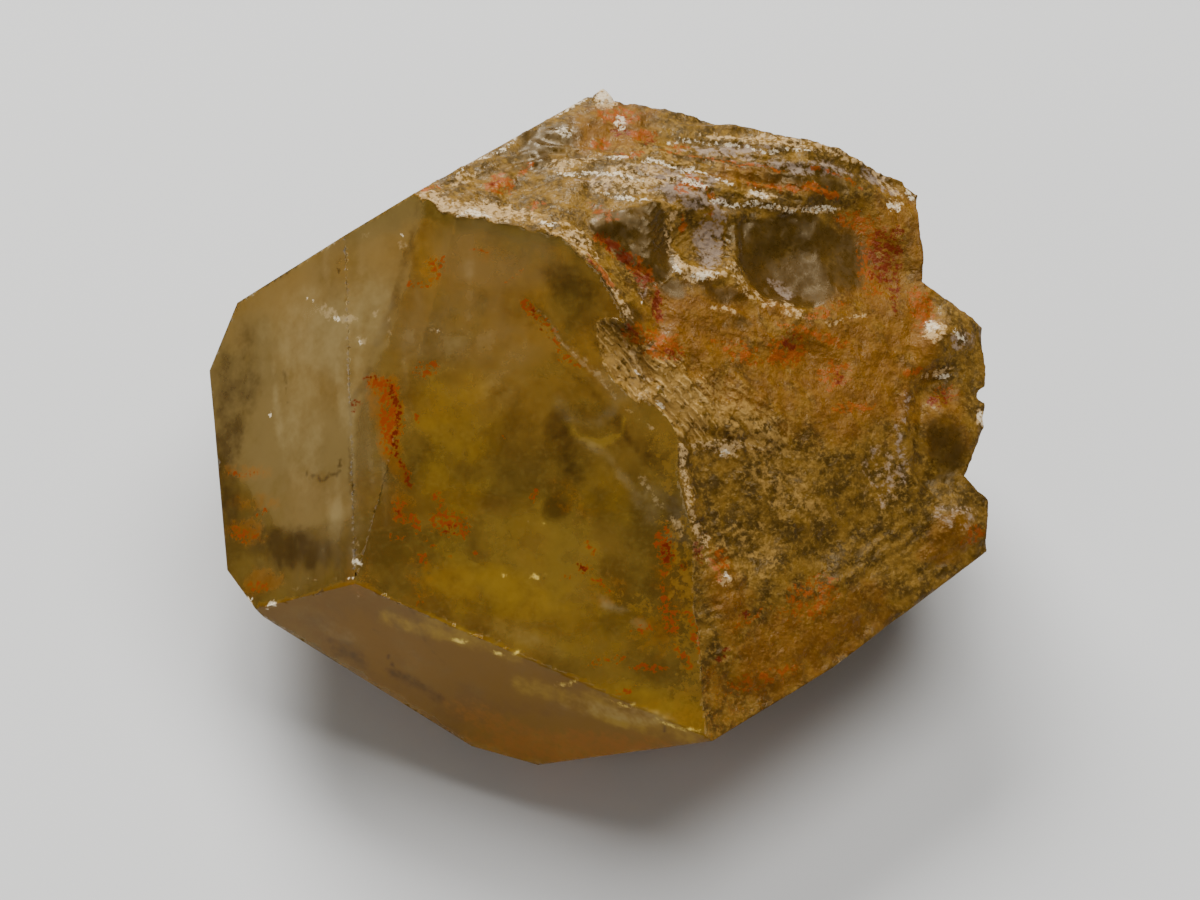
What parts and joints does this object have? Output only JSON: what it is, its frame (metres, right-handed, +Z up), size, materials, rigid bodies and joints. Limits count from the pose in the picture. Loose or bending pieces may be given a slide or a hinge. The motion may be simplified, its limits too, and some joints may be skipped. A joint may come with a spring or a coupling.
{
  "type": "crystal",
  "caption": "Stubby citrine crystal with flat see-through growth faces and an iron-stained broken top and end, lying on a small flat.",
  "frame": {"origin": "centre of the bottom of the crystal's bounding box, level with the flat it lies on", "axes": "+Z up, +X along the crystal's longest way towards its broken right end, -Y towards the viewer in the picture"},
  "size_m": [0.0356, 0.031, 0.0218],
  "materials": {
    "citrine": "clear, glossy growth faces and a matt to glittery stained break"
  },
  "bodies": {
    "root": {"citrine_crystal": "citrine"}
  },
  "joints": []
}
